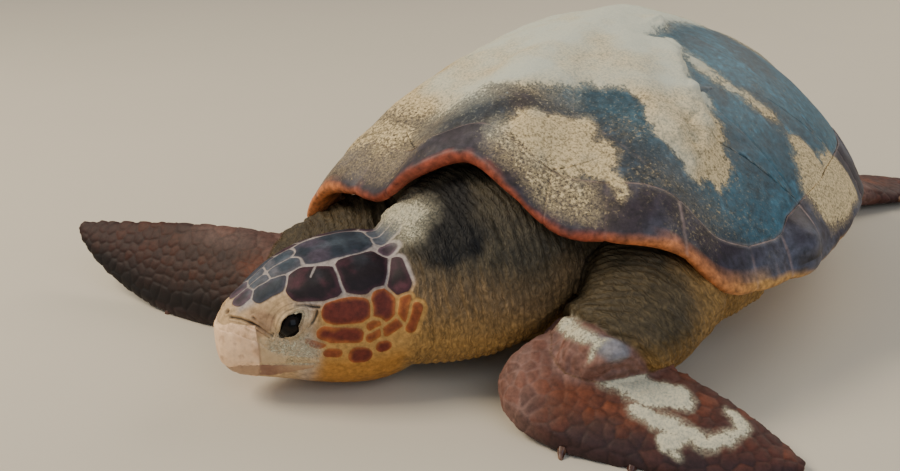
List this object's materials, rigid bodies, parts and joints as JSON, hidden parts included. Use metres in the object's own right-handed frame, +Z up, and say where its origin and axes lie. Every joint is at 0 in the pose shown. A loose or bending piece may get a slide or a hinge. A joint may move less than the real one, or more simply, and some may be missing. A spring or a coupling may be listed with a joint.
{
  "type": "loggerhead turtle model",
  "caption": "Life-size loggerhead sea turtle lying on its plastron, head turned to its right, front flippers spread, as a still display model.",
  "frame": {"origin": "middle of the underside of the bounding box, on the floor the turtle lies on", "axes": "+X to the turtle's left, -Y toward its front (the nuchal scute), +Z up"},
  "size_m": [1.116, 1.2412, 0.3899],
  "materials": {
    "scute": "satin keratin",
    "marginal": "satin keratin",
    "plastron": "matt keratin",
    "skin": "matt wrinkled skin",
    "head_skin": "satin scaled skin",
    "flipper_skin": "satin scaled skin",
    "beak": "satin horn",
    "eye": "wet gloss",
    "claw": "satin horn"
  },
  "bodies": {
    "root": {"beak_lower": "beak", "beak_upper": "beak", "claw_front_left_1": "claw", "claw_front_left_2": "claw", "claw_front_right_1": "claw", "claw_front_right_2": "claw", "claw_hind_left_1": "claw", "claw_hind_left_2": "claw", "claw_hind_right_1": "claw", "claw_hind_right_2": "claw", "costal_scute_left_1": "scute", "costal_scute_left_2": "scute", "costal_scute_left_3": "scute", "costal_scute_left_4": "scute", "costal_scute_left_5": "scute", "costal_scute_right_1": "scute", "costal_scute_right_2": "scute", "costal_scute_right_3": "scute", "costal_scute_right_4": "scute", "costal_scute_right_5": "scute", "eye_left": "eye", "eye_right": "eye", "flipper_left": "flipper_skin", "flipper_right": "flipper_skin", "foot_left": "flipper_skin", "foot_right": "flipper_skin", "head": "head_skin", "marginal_scutes_left": "marginal", "marginal_scutes_right": "marginal", "neck": "skin", "nuchal_scute": "marginal", "plastron": "plastron", "tail": "skin", "thigh_left": "skin", "thigh_right": "skin", "trunk": "skin", "upper_arm_left": "skin", "upper_arm_right": "skin", "vertebral_scute_1": "scute", "vertebral_scute_2": "scute", "vertebral_scute_3": "scute", "vertebral_scute_4": "scute", "vertebral_scute_5": "scute"}
  },
  "joints": []
}
